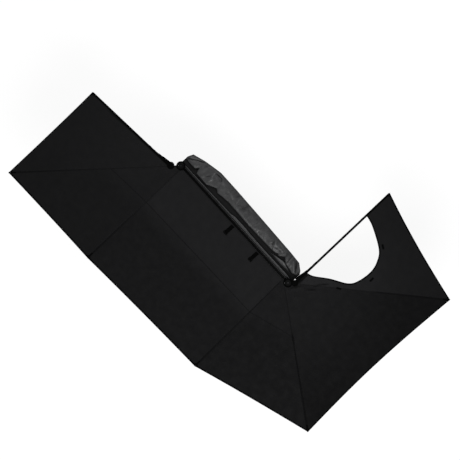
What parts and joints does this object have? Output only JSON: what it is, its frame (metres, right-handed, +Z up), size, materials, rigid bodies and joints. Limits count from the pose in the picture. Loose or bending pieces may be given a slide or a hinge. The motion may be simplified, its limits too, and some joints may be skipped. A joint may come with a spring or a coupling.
{
  "type": "vehicle side awning",
  "caption": "Open fan-shaped fabric awning for a vehicle's side and tail, on hinged arms that turn on upright pins at both ends of a wall rail.",
  "frame": {"origin": "middle of the middle bracket's foot, on its mounting face", "axes": "+X forward along the vehicle, +Y outward from its side, +Z up, away from the mounting face"},
  "size_m": [5.9473, 4.0163, 0.1846],
  "materials": {
    "powder_coat": "black powder coat, fine texture",
    "cast_black": "black coated casting",
    "steel": "zinc plated",
    "nylon": "moulded, satin",
    "ripstop": "coated ripstop, matte",
    "webbing": "woven polyester webbing",
    "vinyl": "coated PVC cloth, low sheen"
  },
  "bodies": {
    "root": {"base_rail": "powder_coat", "rail_end_cap_rear": "nylon", "rail_end_cap_front": "nylon", "bracket_rear": "powder_coat", "bracket_middle": "powder_coat", "bracket_front": "powder_coat", "bracket_bolt_rear_left": "steel", "bracket_bolt_rear_right": "steel", "bracket_bolt_middle_left": "steel", "bracket_bolt_middle_right": "steel", "bracket_bolt_front_left": "steel", "bracket_bolt_front_right": "steel", "rear_hub_base": "cast_black", "rear_hub_pin": "steel", "rear_hub_sleeve": "nylon", "rear_hub_cap": "cast_black", "rear_hub_cap_bolt": "steel", "rear_hub_bolt_behind": "steel", "rear_hub_bolt_ahead": "steel", "front_hub_base": "cast_black", "front_hub_pin": "steel", "front_hub_sleeve": "nylon", "front_hub_cap": "cast_black", "front_hub_cap_bolt": "steel", "front_hub_bolt_behind": "steel", "front_hub_bolt_ahead": "steel", "canopy_side_panel": "ripstop", "strap_rear": "webbing", "strap_front": "webbing", "cover": "vinyl", "cover_bead": "vinyl"},
    "rear_side": {"rear_side_arm": "powder_coat", "rear_side_arm_knuckle": "cast_black", "rear_side_arm_tip": "nylon", "canopy_rear_corner_panel": "ripstop"},
    "rear_corner": {"rear_corner_arm": "powder_coat", "rear_corner_arm_knuckle": "cast_black", "rear_corner_arm_tip": "nylon", "canopy_rear_panel": "ripstop"},
    "tail": {"tail_arm": "powder_coat", "tail_arm_knuckle": "cast_black", "tail_arm_tip": "nylon", "tail_arm_pivot": "cast_black", "canopy_tailgate_panel": "ripstop"},
    "tailgate": {"tailgate_arm": "powder_coat", "tailgate_arm_knuckle": "cast_black", "tailgate_arm_tip": "nylon"},
    "front_side": {"front_side_arm": "powder_coat", "front_side_arm_knuckle": "cast_black", "front_side_arm_tip": "nylon", "canopy_front_corner_panel": "ripstop"},
    "front_corner": {"front_corner_arm": "powder_coat", "front_corner_arm_knuckle": "cast_black", "front_corner_arm_tip": "nylon", "front_corner_arm_pivot": "cast_black", "canopy_front_panel": "ripstop"},
    "windscreen": {"windscreen_arm": "powder_coat", "windscreen_arm_knuckle": "cast_black", "windscreen_arm_tip": "nylon"}
  },
  "joints": [
    {"name": "rear_side_fold", "type": "hinge", "parent": "root", "child": "rear_side", "pos_m": [-1.19, 0.0773, 0.098], "axis": [0, 0, -1], "range_deg": [0, 92], "deforming": ["canopy_side_panel", "strap_rear", "strap_front"]},
    {"name": "rear_corner_fold", "type": "hinge", "parent": "rear_side", "child": "rear_corner", "pos_m": [-1.19, 0.0773, 0.098], "axis": [0, 0, -1], "range_deg": [0, 54.6], "deforming": ["canopy_rear_corner_panel"]},
    {"name": "tail_fold", "type": "hinge", "parent": "rear_corner", "child": "tail", "pos_m": [-1.19, 0.0773, 0.098], "axis": [0, 0, -1], "range_deg": [0, 73.7], "deforming": ["canopy_rear_panel"]},
    {"name": "tailgate_fold", "type": "hinge", "parent": "tail", "child": "tailgate", "pos_m": [-1.2673, -0.03144, 0.098], "axis": [0, 0, -1], "range_deg": [0, 49.4], "deforming": ["canopy_tailgate_panel"]},
    {"name": "front_side_fold", "type": "hinge", "parent": "root", "child": "front_side", "pos_m": [1.19, 0.0773, 0.154], "axis": [0, 0, 1], "range_deg": [0, 88.7]},
    {"name": "front_corner_fold", "type": "hinge", "parent": "front_side", "child": "front_corner", "pos_m": [1.19, 0.0773, 0.154], "axis": [0, 0, 1], "range_deg": [0, 41.4], "deforming": ["canopy_front_corner_panel"]},
    {"name": "windscreen_fold", "type": "hinge", "parent": "front_corner", "child": "windscreen", "pos_m": [1.33426, 0.20153, 0.154], "axis": [0, 0, 1], "range_deg": [0, 45.6], "deforming": ["canopy_front_panel"]}
  ],
  "couplings": [
    {"joint": "front_side_fold", "follows": "rear_side_fold", "ratio": 0.9641}
  ]
}
